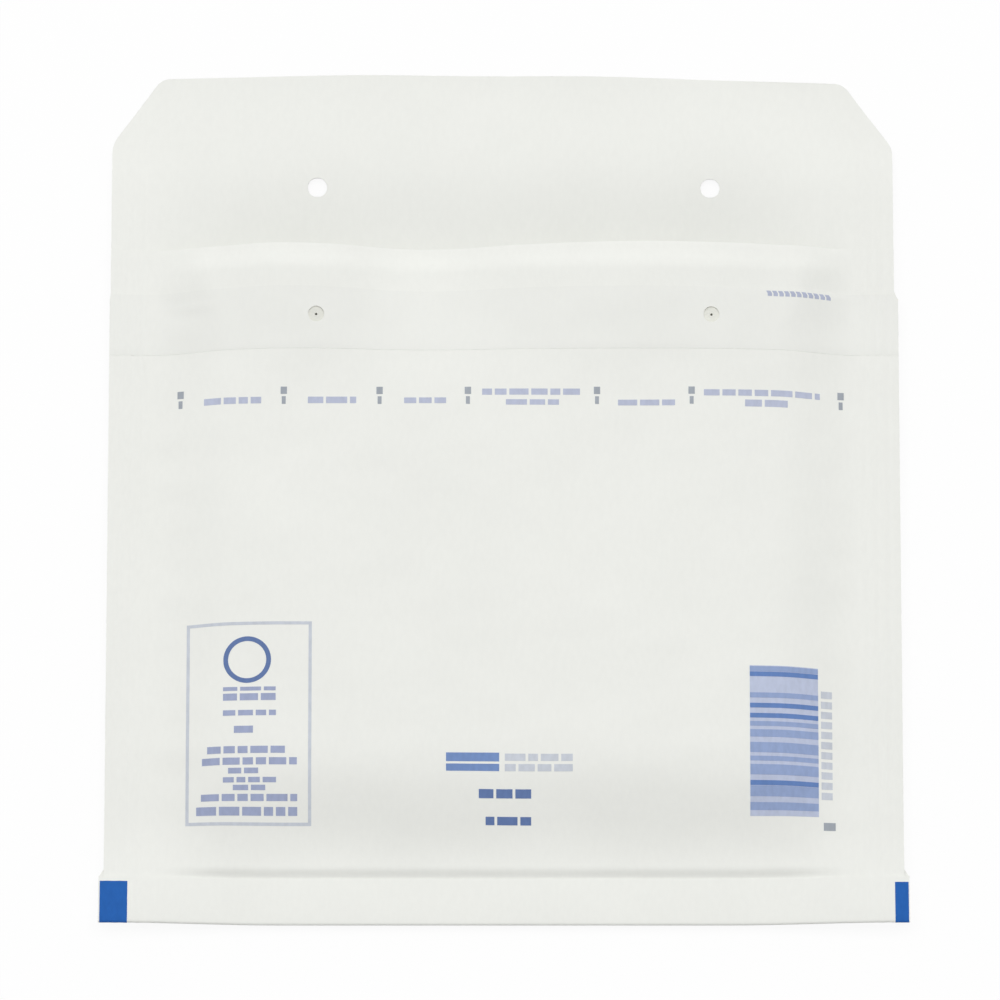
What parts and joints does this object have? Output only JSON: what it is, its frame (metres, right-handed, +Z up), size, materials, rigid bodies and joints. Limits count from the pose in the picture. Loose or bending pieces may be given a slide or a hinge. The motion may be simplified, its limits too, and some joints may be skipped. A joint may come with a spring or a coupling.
{
  "type": "padded envelope",
  "caption": "White padded paper envelope with bubble-film lining, glued hem, open flap with clip holes and a covered adhesive strip, lying flat and empty.",
  "frame": {"origin": "under the middle of the outline of the open envelope, on the surface that its back panel lies on", "axes": "+X across the envelope, +Y from the bottom hem towards the open flap, +Z up from the back panel to the front panel"},
  "size_m": [0.2026, 0.2235, 0.0126],
  "materials": {
    "paper": "matte",
    "bubble_film": "satin",
    "adhesive": "satin",
    "liner": "satin"
  },
  "bodies": {
    "root": {"back_sheet": "paper", "front_sheet": "paper", "back_lining": "bubble_film", "front_lining": "bubble_film", "adhesive_strip": "adhesive", "release_liner": "liner"}
  },
  "joints": []
}
